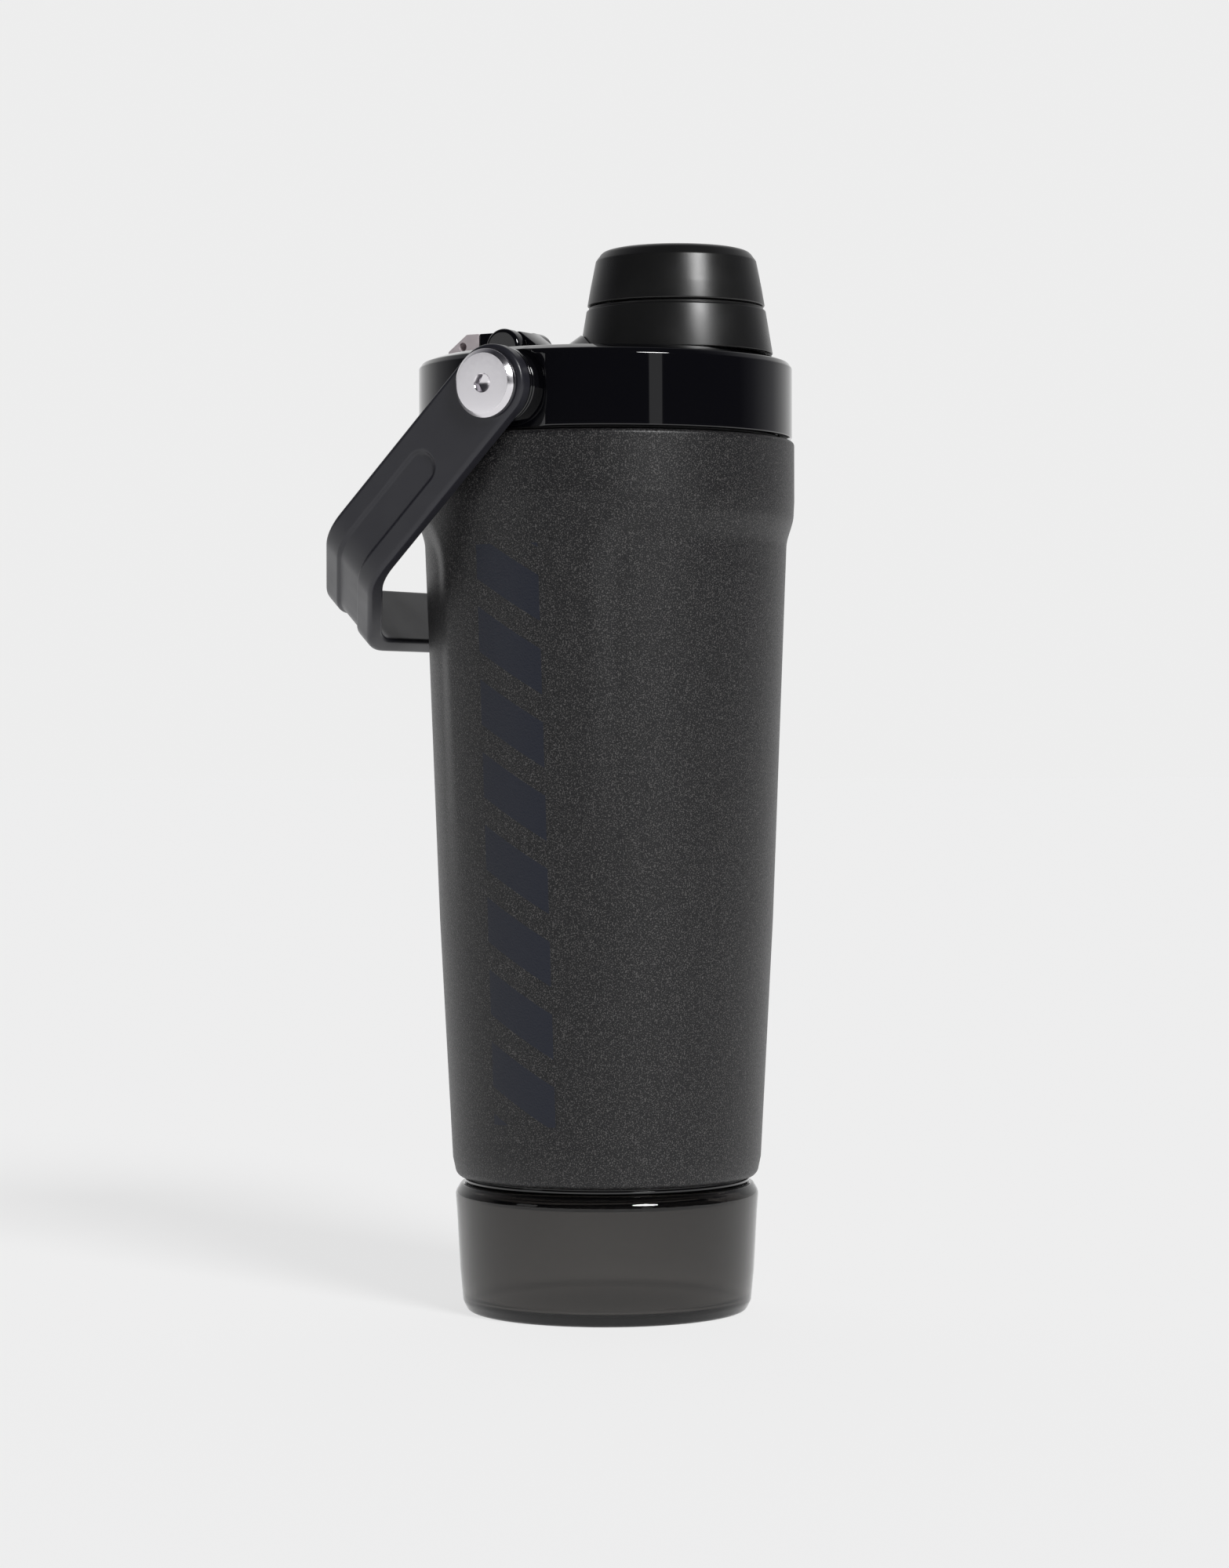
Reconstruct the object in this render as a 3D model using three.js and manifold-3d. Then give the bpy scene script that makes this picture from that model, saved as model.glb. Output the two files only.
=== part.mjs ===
// Insulated shaker bottle: steel vessel, screw-off storage cup below, screw-on lid above with a capped
// spout, a lift-up vent lever and a swinging carry handle.
// Frame: millimetres, +Z up, origin at the centre of the underside, +X towards the spout, and the
// handle's pivot axis along Y. At rest everything is screwed shut and the handle hangs towards -X.
import * as THREE from 'three';
import { mergeVertices } from 'three/addons/utils/BufferGeometryUtils.js';
import Module from 'manifold-3d';

const wasm = await Module();
wasm.setup();

// ---- Driving dimensions ----
const GAP = 0.3; // between touching pieces
const FACETS = 36; // round a large piece
const SMALL_FACETS = 24; // round the spout and its cap
const TINY_FACETS = 14; // round screws, pins and stems

const BODY = { bottom: 32.2, top: 209.2, radius: 45.5, coneFoot: 36, footRadius: 37.14, slope: 0.0527 };
const STEEL = 0.6; // wall of the shell and of the liner
const PANEL = { foot: 94, head: 191.3, halfAngle: 64, edge: 7.5, corner: 14, deepening: 0.015 };
const RIM = { inner: 42, chamfer: 0.8, drop: 1.3 };
const LINER = { inset: 4.6, floor: 37.1, corner: 6.9, flat: 26, shoulder: 186, neckFoot: 192, bore: 41 };
const BASE = { bottom: 33.6, radius: 34.2, bore: 2.3 };

const CUP = { height: 30.9, radius: 36.6, inner: 34, thread: 26, lower: 33.2, floor: 2.9, dome: 4.6 };
const SPIGOT = { radius: 32.2, bore: 29.4, bottom: 27, flange: 34.4, flangeBottom: 31.2, top: 33.3 };
const CUP_SEAL = { inner: 32.5, outer: 33.7, bottom: 30.1, top: 30.9 };

const COLLAR = { bottom: 209.9, bevel: 226.9, top: 229, radius: 45, topRadius: 41.1, inner: 42.3 };
const DECK_UNDERSIDE = 226.2;
const PLUG = { bottom: 197, radius: 38.9, inner: 36.5, plate: 211.8, plateTop: 213.6 };
const GRID = { pitch: 11.6, hole: 4.4, rim: 6, thickness: 1.8 };
// Where each pair of threads starts, how far it rises in a turn, and the turns that stay in mesh.
const THREAD_START = 0.06; // radians, clear of the facets' edges
const LID_THREAD = { bottom: 198.6, lead: 6, turns: 1.4, width: 2.2, facets: FACETS };
const CUP_THREAD = { bottom: 27.9, lead: 2.4, turns: 0.5, width: 0.9, facets: FACETS };
const CAP_THREAD = { bottom: 243, lead: 4.5, turns: 1.1, width: 1.7, facets: SMALL_FACETS };
const GASKET = { inner: 39.2, outer: 42, bottom: 209.5, top: 211.5 };

const SPOUT_X = 19.8;
const SHROUD = { bottom: 229.3, footRadius: 23.1, top: 239.8, topRadius: 21.3, wall: 1.6 };
const FLARE = { radius: 33, height: 3, lip: 0.6 };
const NECK = { radius: 15.4, bore: 13.5, top: 251 };
const CAP = { bottom: 240.7, radius: 21.2, shoulder: 251.7, shoulderRadius: 19.1, top: 254.3, topRadius: 16 };

const CAP_LINER = { root: 16.8, outer: 17.5, bottom: 241.2, top: 250.8, foot: 18.7, footTop: 242.4 };

const PIVOT_Z = 219.5;
const FLAT_Y = 43.7;
const BOSS = { radius: 8.8, face: 46, bore: 4.5 };
const PAD = { halfWidth: 9, inner: 34, outer: 43.2, bottom: 213.9 }; // thickens the cover behind each flat
const INSERT = { radius: 4.2, inner: 35.4, outer: 43 };
const BUSH_RADIUS = 4.3;
const WASHER = { outer: 9, inner: 4.6 };
const HANDLE = { inner: 47.6, outer: 51.8, halfWidth: 9.27, reach: 77.2, droop: 44.5, armEnd: 55.7 };
const BEND_RADIUS = 14; // of the strap's outer face
const DIMPLE = { start: 22.3, halfWidth: 4.3, depth: 0.7 };
const SCREW = { headRadius: 8, faceRadius: 7.1, face: 54.4, shank: 2.5, tip: 35.6, socket: 2.31, depth: 1.6 };

const LEVER = { axisX: -24.5, axisZ: 232.7, halfWidth: 4.5, underside: 229.8, top: 237, tip: -42.6 };
const LEVER_SPLIT = -33.4; // where the clear window starts
const LEVER_EYE = { x: -38.3, z: 234, radius: 1.1 };
const KNUCKLE = { radius: 4.8, outer: 8.3, edge: 0.8, pin: 1.2 };
const VENT = { x: -30.6, bore: 1.9, seat: 3.2, seatDepth: 0.9, plug: 2.7, tip: 1.3, stem: 0.9 };

// ---- Solids ----
// A closed three.js geometry as a manifold solid.
function solid(geometry) {
  const bare = geometry.clone();
  bare.deleteAttribute('normal');
  bare.deleteAttribute('uv');
  const merged = mergeVertices(bare, 1e-4);
  const index = merged.getIndex().array;
  const kept = [];
  for (let i = 0; i < index.length; i += 3) {
    const [a, b, c] = [index[i], index[i + 1], index[i + 2]];
    if (a !== b && b !== c && c !== a) kept.push(a, b, c);
  }
  const vertProperties = new Float32Array(merged.getAttribute('position').array);
  return new wasm.Manifold(new wasm.Mesh({ numProp: 3, vertProperties, triVerts: new Uint32Array(kept) }));
}

function geometryOf(manifold) {
  const mesh = manifold.getMesh();
  const geometry = new THREE.BufferGeometry();
  geometry.setAttribute('position', new THREE.BufferAttribute(new Float32Array(mesh.vertProperties), 3));
  geometry.setIndex(new THREE.BufferAttribute(new Uint32Array(mesh.triVerts), 1));
  geometry.computeVertexNormals();
  return geometry;
}

function joined(...solids) {
  return solids.reduce((sum, next) => sum.add(next));
}

function cut(body, ...tools) {
  return tools.reduce((rest, tool) => rest.subtract(tool), body);
}

// ---- Shapes ----
// Points of an arc in the plane of a profile, angles in degrees, both ends included.
function arc(cx, cy, radius, from, to, steps) {
  return Array.from({ length: steps + 1 }, (_, i) => {
    const angle = THREE.MathUtils.degToRad(from + ((to - from) * i) / steps);
    return [cx + radius * Math.cos(angle), cy + radius * Math.sin(angle)];
  });
}

// A profile of [radius, height] points, anticlockwise, turned round Z. One that is off the axis is closed.
function revolve(profile, facets = FACETS) {
  const points = profile.map(([r, z]) => new THREE.Vector2(r, z));
  const onAxis = profile[0][0] === 0 && profile.at(-1)[0] === 0;
  if (!onAxis) points.push(points[0].clone());
  return new THREE.LatheGeometry(points, facets).rotateX(Math.PI / 2);
}

function tube(outer, inner, bottom, top, facets = FACETS) {
  return revolve([[outer, bottom], [outer, top], [inner, top], [inner, bottom]], facets);
}

function disc(radius, bottom, top, facets = TINY_FACETS) {
  return revolve([[0, bottom], [radius, bottom], [radius, top], [0, top]], facets);
}

function block(x0, x1, y0, y1, z0, z1) {
  const box = new THREE.BoxGeometry(x1 - x0, y1 - y0, z1 - z0);
  return box.translate((x0 + x1) / 2, (y0 + y1) / 2, (z0 + z1) / 2);
}

// An outline in the X-Z plane, pushed from y0 to y1.
function slab(outline, y0, y1) {
  const shape = new THREE.Shape(outline.map(([x, z]) => new THREE.Vector2(x, z)));
  const plate = new THREE.ExtrudeGeometry(shape, { depth: y1 - y0, bevelEnabled: false });
  return plate.rotateX(Math.PI / 2).translate(0, y1, 0);
}

// A piece made upright, laid along the pivot axis on one side: its +Z becomes outward.
function alongPivot(geometry, side) {
  return geometry.rotateX((-side * Math.PI) / 2).translate(0, 0, PIVOT_Z);
}

// A right-handed screw thread: a straight ridge wound round Z that fades out at both ends. Its crest leaves
// the root radius by height. A female thread has a negative height and starts half a turn round, so that
// it lies midway between the turns of the male thread that starts at the same level.
function thread({ root, height, width, lead, bottom, turns, facets }) {
  const sink = -Math.sign(height) * 0.4;
  const half = width / 2;
  const crest = half * 0.45;
  const outline = [[-half, sink], [half, sink], [crest, height], [-crest, height]];
  const shape = new THREE.Shape(outline.map(([rise, out]) => new THREE.Vector2(rise, out)));
  const steps = Math.round(turns * facets);
  const ridge = new THREE.ExtrudeGeometry(shape, { depth: 1, steps, bevelEnabled: false });
  const place = ridge.getAttribute('position');
  const fade = 2 / steps;
  for (let i = 0; i < place.count; i += 1) {
    const along = place.getZ(i);
    const strength = Math.min(1, 0.3 + (0.7 * Math.min(along, 1 - along)) / fade);
    const isCrest = place.getY(i) * height > 0;
    const radius = root + place.getY(i) * (isCrest ? strength : 1);
    const angle = THREAD_START + along * turns * 2 * Math.PI;
    const level = bottom + along * turns * lead + place.getX(i);
    place.setXYZ(i, radius * Math.cos(angle), radius * Math.sin(angle), level);
  }
  if (height < 0) ridge.rotateZ(Math.PI);
  return ridge;
}

// ---- Vessel ----
function wallRadius(z) {
  return Math.min(BODY.radius, BODY.footRadius + BODY.slope * (z - BODY.coneFoot));
}

// How far the two grip panels, on the +X and -X sides, are sunk at a place on the wall.
function panelDepth(x, y, z) {
  if (z <= PANEL.foot || z >= PANEL.head) return 0;
  const fromX = Math.atan2(Math.abs(y), Math.abs(x));
  const sideways = (THREE.MathUtils.degToRad(PANEL.halfAngle) - fromX) * BODY.radius;
  const down = PANEL.head - z;
  const inCorner = sideways < PANEL.corner && down < PANEL.corner;
  const cornerReach = Math.hypot(PANEL.corner - sideways, PANEL.corner - down);
  const inside = inCorner ? PANEL.corner - cornerReach : Math.min(sideways, down);
  return THREE.MathUtils.smoothstep(inside, 0, PANEL.edge) * PANEL.deepening * (z - PANEL.foot);
}

function sinkPanels(geometry) {
  const place = geometry.getAttribute('position');
  for (let i = 0; i < place.count; i += 1) {
    const [x, y, z] = [place.getX(i), place.getY(i), place.getZ(i)];
    const radius = Math.hypot(x, y);
    const scale = radius > 0 ? 1 - panelDepth(x, y, z) / radius : 1;
    place.setXY(i, x * scale, y * scale);
  }
  return geometry;
}

function outerShell() {
  const levels = [94, 124, 156, 183.8, 186.4, 188.8, 191.4, 195.2];
  const foot = arc(34.9, 35.4, 2.2, -75, 0, 3);
  const outside = levels.map((z) => [wallRadius(z), z]);
  const inside = levels.toReversed().map((z) => [wallRadius(z) - STEEL, z]);
  const rim = [[BODY.radius, BODY.top - RIM.chamfer], [BODY.radius - RIM.chamfer, BODY.top],
    [RIM.inner, BODY.top], [RIM.inner, BODY.top - STEEL], [BODY.radius - RIM.drop, BODY.top - RIM.drop]];
  const footInner = SPIGOT.flange - 0.5;
  const underFoot = [[36.5, 37], [35, 33.3], [footInner, 33.3], [footInner, BODY.bottom]];
  return sinkPanels(revolve([...foot, ...outside, ...rim, ...inside, ...underFoot]));
}

// The wall that holds the drink: a tapered cup with a domed floor and a straight threaded neck.
function linerFace(inset) {
  const { flat, corner, floor, shoulder, neckFoot, bore } = LINER;
  const taper = [80, 150, shoulder].map((z) => [wallRadius(z) - LINER.inset - inset, z]);
  const neck = bore + STEEL - inset;
  return [[0, floor + 0.5 + inset], ...arc(flat, floor + corner, corner - inset, -90, -10, 4), ...taper,
    [neck, neckFoot], [neck, BODY.top - GAP]];
}

function innerLiner() {
  const wall = revolve([...linerFace(0), ...linerFace(STEEL).reverse()]);
  const ridge = thread({ root: LINER.bore, height: -1.2, ...LID_THREAD });
  return geometryOf(joined(solid(wall), solid(ridge)));
}

function basePlate() {
  return tube(BASE.radius, BASE.bore, BASE.bottom, BASE.bottom + STEEL);
}

// Closes the hole through which the air between the walls is drawn out.
function vacuumPlug() {
  const head = BASE.bottom - GAP;
  const shank = BASE.bore - GAP;
  return revolve([[0, head - 0.6], [shank + 1.6, head - 0.6], [shank + 1.6, head], [shank, head],
    [shank, head + 1.5], [0, head + 1.5]], TINY_FACETS);
}

// The plastic ring under the vessel that the storage cup screws on to.
function storageRing() {
  const flangeTop = BODY.bottom - GAP;
  const ring = revolve([[SPIGOT.bore, SPIGOT.bottom], [SPIGOT.radius, SPIGOT.bottom],
    [SPIGOT.radius, SPIGOT.flangeBottom], [SPIGOT.flange, SPIGOT.flangeBottom],
    [SPIGOT.flange, flangeTop], [33.5, flangeTop], [33.5, SPIGOT.top], [SPIGOT.bore, SPIGOT.top]]);
  const ridge = thread({ root: SPIGOT.radius, height: 1.2, ...CUP_THREAD });
  return geometryOf(joined(solid(ring), solid(ridge)));
}

// ---- Storage cup ----
function storageSeal() {
  return tube(CUP_SEAL.outer, CUP_SEAL.inner, CUP_SEAL.bottom, CUP_SEAL.top);
}

function storageCup() {
  const outside = [[0, 0], ...arc(32.6, 2.2, 2.2, -90, -20, 4), [35.2, 5.8], [35.65, 13.3], [36.25, 24.7],
    [CUP.radius, 28.2], [CUP.radius - 0.4, 29.8], [CUP.radius - 1.4, CUP.height]];
  const inside = [[CUP.inner, CUP.height], [CUP.inner, CUP.thread], [CUP.lower + 0.5, 18], [CUP.lower, 4.8],
    [CUP.lower - 1.6, CUP.floor - 0.3], [26, CUP.floor], [14, 3.9], [0, CUP.dome]];
  const ridge = thread({ root: CUP.inner, height: -1.3, ...CUP_THREAD });
  return geometryOf(joined(solid(revolve([...outside, ...inside])), solid(ridge)));
}

// ---- Lid ----
function lidGasket() {
  return tube(GASKET.outer, GASKET.inner, GASKET.bottom, GASKET.top);
}

// A concave skirt behind the foot of the spout, no wider than the lid's flat top. It fades away towards
// the front, where the spout stands at the edge of the top.
function spoutFlare() {
  const rise = SHROUD.bottom - GAP;
  const bore = SHROUD.footRadius + GAP + 0.1;
  const sweep = arc(FLARE.radius, rise + FLARE.height + 6, FLARE.height + 6, -90, -152, 5);
  const skirt = [[bore, rise - 1], [FLARE.radius, rise - 1], ...sweep.filter(([r]) => r > bore + FLARE.lip),
    [bore, rise + FLARE.height + 0.6]];
  const ring = revolve(skirt, SMALL_FACETS);
  const place = ring.getAttribute('position');
  for (let i = 0; i < place.count; i += 1) {
    const behind = -place.getX(i) / Math.hypot(place.getX(i), place.getY(i));
    const height = THREE.MathUtils.smoothstep(behind, -0.2, 0.5);
    const sunk = COLLAR.top - 0.1;
    if (place.getZ(i) > sunk) place.setZ(i, sunk + (place.getZ(i) - sunk) * height);
  }
  const flare = solid(ring.translate(SPOUT_X, 0, 0));
  return flare.intersect(solid(disc(COLLAR.topRadius - 0.3, COLLAR.bottom, COLLAR.top + 8, FACETS)));
}

// The smoked cover: a bevelled ring with a flat deck, flats and bosses for the handle, and two knuckles.
function lidCollar() {
  const shell = revolve([[0, DECK_UNDERSIDE], [COLLAR.topRadius - 1, DECK_UNDERSIDE],
    [COLLAR.inner, 224.6], [COLLAR.inner, COLLAR.bottom], [COLLAR.radius, COLLAR.bottom],
    [COLLAR.radius, COLLAR.bevel], [44.4, 227.7], [42.6, 228.7], [COLLAR.topRadius, COLLAR.top],
    [0, COLLAR.top]]);
  let cover = joined(solid(shell), spoutFlare());
  for (const side of [-1, 1]) {
    const beyond = [FLAT_Y * side, (COLLAR.radius + 1) * side].sort((a, b) => a - b);
    cover = cover.subtract(solid(block(-30, 30, ...beyond, COLLAR.bottom - 1, COLLAR.top + 1)));
    const pad = [PAD.inner * side, PAD.outer * side].sort((a, b) => a - b);
    const padTop = DECK_UNDERSIDE + 0.5;
    cover = cover.add(solid(block(-PAD.halfWidth, PAD.halfWidth, ...pad, PAD.bottom, padTop)));
    const boss = disc(BOSS.radius, COLLAR.inner + 0.2, BOSS.face, SMALL_FACETS);
    cover = cover.add(solid(alongPivot(boss, side)));
    cover = cover.subtract(solid(alongPivot(disc(BOSS.bore, PAD.inner + 1, BOSS.face + 1), side)));
    cover = cover.add(leverKnuckle(side));
  }
  const spoutHole = solid(disc(NECK.radius + 1.6, DECK_UNDERSIDE - 1, COLLAR.top + 1, SMALL_FACETS)
    .translate(SPOUT_X, 0, 0));
  const seat = solid(disc(VENT.seat, COLLAR.top - VENT.seatDepth, COLLAR.top + 1).translate(VENT.x, 0, 0));
  return geometryOf(cut(cover, spoutHole, seat, ventHole(DECK_UNDERSIDE, COLLAR.top)));
}

// A hole from the drink space to the open air, through one of the lid's two plates.
function ventHole(bottom, top) {
  return solid(disc(VENT.bore, bottom - 1, top + 1).translate(VENT.x, 0, 0));
}

// One of the two barrels that hold the vent lever's pin, faired down to the deck.
function leverKnuckle(side) {
  const inner = LEVER.halfWidth + GAP;
  const end = KNUCKLE.outer - KNUCKLE.edge;
  const barrel = revolve([[0, inner], [KNUCKLE.radius, inner], [KNUCKLE.radius, end],
    [KNUCKLE.radius - KNUCKLE.edge, KNUCKLE.outer], [0, KNUCKLE.outer]], TINY_FACETS);
  barrel.rotateX((-side * Math.PI) / 2).translate(LEVER.axisX, 0, LEVER.axisZ);
  const foot = [inner * side, end * side].sort((a, b) => a - b);
  const stand = block(LEVER.axisX - 4, LEVER.axisX + 4, ...foot, COLLAR.top - 0.5, LEVER.axisZ);
  const bore = disc(KNUCKLE.pin + GAP, 0, KNUCKLE.outer - 1.2).rotateX((-side * Math.PI) / 2)
    .translate(LEVER.axisX, 0, LEVER.axisZ);
  const aboveDeck = solid(block(-60, 0, -20, 20, COLLAR.top - 0.5, 260));
  return cut(joined(solid(barrel), solid(stand)), solid(bore)).intersect(aboveDeck);
}

// The black inner moulding: threaded plug, flange over the gasket, and the drinking neck.
function lidCore() {
  const plug = revolve([[PLUG.inner, PLUG.bottom], [PLUG.radius, PLUG.bottom], [PLUG.radius, PLUG.plate],
    [GASKET.outer, PLUG.plate], [GASKET.outer, PLUG.plateTop], [0, PLUG.plateTop],
    [0, PLUG.plate], [PLUG.inner, PLUG.plate]]);
  const ridge = thread({ root: PLUG.radius, height: 1.2, ...LID_THREAD });
  const neck = disc(NECK.radius, PLUG.plate, NECK.top, SMALL_FACETS).translate(SPOUT_X, 0, 0);
  const neckRidge = thread({ root: NECK.radius, height: 1, ...CAP_THREAD }).translate(SPOUT_X, 0, 0);
  const bore = disc(NECK.bore, PLUG.plate - 1, NECK.top + 1, SMALL_FACETS).translate(SPOUT_X, 0, 0);
  const whole = joined(solid(plug), solid(ridge), solid(neck), solid(neckRidge));
  return geometryOf(cut(whole, solid(bore), ventHole(PLUG.plate, PLUG.plateTop)));
}

function spoutShroud() {
  const { bottom, top, wall, footRadius, topRadius } = SHROUD;
  return revolve([[footRadius, bottom], [topRadius + 0.1, top - 0.4], [topRadius - 0.4, top],
    [NECK.radius + 1.6, top], [NECK.radius + 1.6, top - wall], [topRadius - wall, top - wall],
    [footRadius - wall, bottom]], SMALL_FACETS).translate(SPOUT_X, 0, 0);
}

// The grid that breaks up lumps: a rimmed plate of round holes in the mouth of the plug.
function mixingGrid() {
  const plate = new THREE.Shape().absarc(0, 0, PLUG.inner - GAP, 0, 2 * Math.PI);
  for (let row = -3; row <= 3; row += 1) {
    for (let column = -3; column <= 3; column += 1) {
      const x = (column + (Math.abs(row) % 2) / 2) * GRID.pitch;
      const y = row * GRID.pitch * Math.sin(Math.PI / 3);
      const hole = new THREE.Path().absarc(x, y, GRID.hole, 0, 2 * Math.PI, true);
      if (Math.hypot(x, y) < PLUG.inner - GRID.rim) plate.holes.push(hole);
    }
  }
  const grid = new THREE.ExtrudeGeometry(plate, {
    depth: GRID.thickness, bevelEnabled: false, curveSegments: 4,
  });
  return grid.translate(0, 0, PLUG.bottom + 0.6);
}

// ---- Spout cap ----
function capShell() {
  const { bottom, radius, shoulder, shoulderRadius, top, topRadius } = CAP;
  return revolve([[radius, bottom], [20.5, 245], [19.79, 248.7], [shoulderRadius, shoulder],
    [shoulderRadius - 0.9, shoulder + 1.3], [topRadius, top], [0, top], [0, top - 1.2],
    [shoulderRadius - 1.8, top - 1.4], [shoulderRadius - 1.4, shoulder], [19.3, bottom]],
    SMALL_FACETS).translate(SPOUT_X, 0, 0);
}

// The threaded insert inside the cap, with a foot that locates it in the shell.
function capLiner() {
  const { root, outer, bottom, top, foot, footTop } = CAP_LINER;
  const ring = revolve([[foot, bottom], [foot, footTop], [outer, footTop], [outer, top], [root, top],
    [root, bottom]], SMALL_FACETS);
  const ridge = thread({ root, height: -1, ...CAP_THREAD });
  return geometryOf(joined(solid(ring), solid(ridge))).translate(SPOUT_X, 0, 0);
}

function capSeal() {
  return disc(16.4, NECK.top + GAP, NECK.top + 1.4, SMALL_FACETS).translate(SPOUT_X, 0, 0);
}

// ---- Carry handle ----
// A corner of an outline replaced by an arc.
function rounded(before, corner, after, radius, steps = 5) {
  const [a, c, b] = [before, corner, after].map(([x, y]) => new THREE.Vector2(x, y));
  const toA = a.clone().sub(c).normalize();
  const toB = b.clone().sub(c).normalize();
  const half = Math.acos(toA.dot(toB)) / 2;
  const centre = toA.clone().add(toB).normalize().multiplyScalar(radius / Math.sin(half)).add(c);
  const start = toA.multiplyScalar(radius / Math.tan(half)).add(c).sub(centre);
  const end = toB.multiplyScalar(radius / Math.tan(half)).add(c).sub(centre);
  const sweep = Math.atan2(start.cross(end), start.dot(end));
  return Array.from({ length: steps + 1 }, (_, i) => {
    const spoke = start.clone().rotateAround(new THREE.Vector2(), (sweep * i) / steps);
    return [centre.x + spoke.x, centre.y + spoke.y];
  });
}

// Half of a U with sloped corners, sunk by inset below the strap's outer face: [across, along] points.
function strapEdge(inset) {
  const across = HANDLE.outer - inset;
  const along = HANDLE.reach - inset;
  const diagonal = HANDLE.armEnd + HANDLE.outer - inset * Math.SQRT2;
  const radius = BEND_RADIUS - inset;
  const shoulder = [across, diagonal - across];
  const corner = [diagonal - along, along];
  const heel = -HANDLE.halfWidth - 1;
  return [[across, heel], ...rounded([across, heel], shoulder, corner, radius),
    ...rounded(shoulder, corner, [0, along], radius)];
}

function strapBand(outerInset, innerInset, halfWidth) {
  const outer = strapEdge(outerInset);
  const inner = strapEdge(innerInset).reverse();
  const mirror = (points) => points.map(([y, u]) => [-y, u]).reverse();
  const outline = [...outer, ...mirror(outer), ...mirror(inner), ...inner];
  const shape = new THREE.Shape(outline.map(([y, u]) => new THREE.Vector2(y, u)));
  const band = new THREE.ExtrudeGeometry(shape, { depth: 2 * halfWidth, bevelEnabled: false });
  return solid(band.translate(0, 0, -halfWidth));
}

// Made flat with X across, Y away from the pivot and Z over the strap's width.
function roundEnded(start, halfWidth) {
  const far = HANDLE.reach + 5;
  const shape = new THREE.Shape([...arc(start, 0, halfWidth, 90, 270, 12), [far, -halfWidth],
    [far, halfWidth]].map(([u, w]) => new THREE.Vector2(u, w)));
  const plate = new THREE.ExtrudeGeometry(shape, { depth: 120, bevelEnabled: false });
  const turned = new THREE.Matrix4().makeBasis(new THREE.Vector3(0, 1, 0), new THREE.Vector3(0, 0, 1),
    new THREE.Vector3(1, 0, 0));
  return solid(plate.applyMatrix4(turned).translate(-60, 0, 0));
}

function carryHandle() {
  const thickness = HANDLE.outer - HANDLE.inner;
  const strap = strapBand(0, thickness, HANDLE.halfWidth + 1).intersect(roundEnded(0, HANDLE.halfWidth));
  const dimple = strapBand(-2, DIMPLE.depth, DIMPLE.halfWidth + 1)
    .intersect(roundEnded(DIMPLE.start + DIMPLE.halfWidth, DIMPLE.halfWidth));
  const eye = solid(disc(BUSH_RADIUS + GAP, -60, 60).rotateY(Math.PI / 2));
  return geometryOf(cut(strap, dimple, eye));
}

// ---- Pivot hardware, made upright with its own axis along Z ----
function pivotScrew() {
  const head = revolve([[0, HANDLE.outer + GAP], [SCREW.headRadius, HANDLE.outer + GAP],
    [SCREW.headRadius, SCREW.face - 0.9], [SCREW.faceRadius, SCREW.face], [0, SCREW.face]], SMALL_FACETS);
  const shank = disc(SCREW.shank, SCREW.tip, HANDLE.outer + 1);
  const socket = disc(SCREW.socket, SCREW.face - SCREW.depth, SCREW.face + 1, 6);
  return geometryOf(cut(joined(solid(head), solid(shank)), solid(socket)));
}

function pivotBush() {
  return tube(BUSH_RADIUS, SCREW.shank + GAP, BOSS.face + GAP, HANDLE.outer, TINY_FACETS);
}

function pivotWasher() {
  return tube(WASHER.outer, WASHER.inner, BOSS.face + GAP, HANDLE.inner - GAP, SMALL_FACETS);
}

function threadInsert() {
  return tube(INSERT.radius, SCREW.shank + GAP, INSERT.inner, INSERT.outer, TINY_FACETS);
}

// ---- Vent ----
function leverOutline() {
  const { axisX, axisZ, underside, top, tip } = LEVER;
  const nose = [[axisX + 2, underside + 0.8], [-17, axisZ - 0.3], [-17, axisZ + 0.8]];
  const back = [[-21.8, top], [-37.2, top], [tip, top - 4]];
  const foot = [[tip, underside + 0.6], [tip + 0.6, underside], [axisX - 3, underside]];
  return [...nose, ...back, ...foot, [axisX, underside - 0.5]].reverse();
}

// A round bar across the lever at a place in the X-Z plane.
function crossBar(x, z, radius, reach) {
  return disc(radius, -reach, reach).rotateX(Math.PI / 2).translate(x, 0, z);
}

function ventLever() {
  const whole = solid(slab(leverOutline(), -LEVER.halfWidth, LEVER.halfWidth));
  const inboard = solid(block(LEVER_SPLIT, 0, -10, 10, 220, 245));
  const pinHole = solid(crossBar(LEVER.axisX, LEVER.axisZ, KNUCKLE.pin + 0.15, 20));
  const plugSocket = solid(disc(VENT.stem + GAP, 220, LEVER.underside + 2.8).translate(VENT.x, 0, 0));
  return geometryOf(cut(whole.intersect(inboard), pinHole, plugSocket));
}

function leverTip() {
  const whole = solid(slab(leverOutline(), -LEVER.halfWidth, LEVER.halfWidth));
  const outboard = solid(block(-60, LEVER_SPLIT - GAP, -10, 10, 220, 245));
  const eye = solid(crossBar(LEVER_EYE.x, LEVER_EYE.z, LEVER_EYE.radius, 20));
  return geometryOf(whole.intersect(outboard).subtract(eye));
}

function leverPin() {
  return crossBar(LEVER.axisX, LEVER.axisZ, KNUCKLE.pin, KNUCKLE.outer - 1.5);
}

// The soft plug under the lever that closes the vent hole.
function ventPlug() {
  const seat = COLLAR.top - VENT.seatDepth + 0.4;
  const top = LEVER.underside - GAP;
  return revolve([[0, seat - 0.9], [VENT.tip, seat - 0.9], [VENT.tip + 0.2, seat], [VENT.plug, seat],
    [VENT.plug, top], [VENT.stem, top], [VENT.stem, top + 2.8], [0, top + 2.8]], TINY_FACETS)
    .translate(VENT.x, 0, 0);
}

// ---- Materials and assembly ----
function material(color, roughness, metalness = 0, opacity = 1) {
  return new THREE.MeshStandardMaterial({ color, roughness, metalness, opacity, transparent: opacity < 1 });
}

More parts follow.
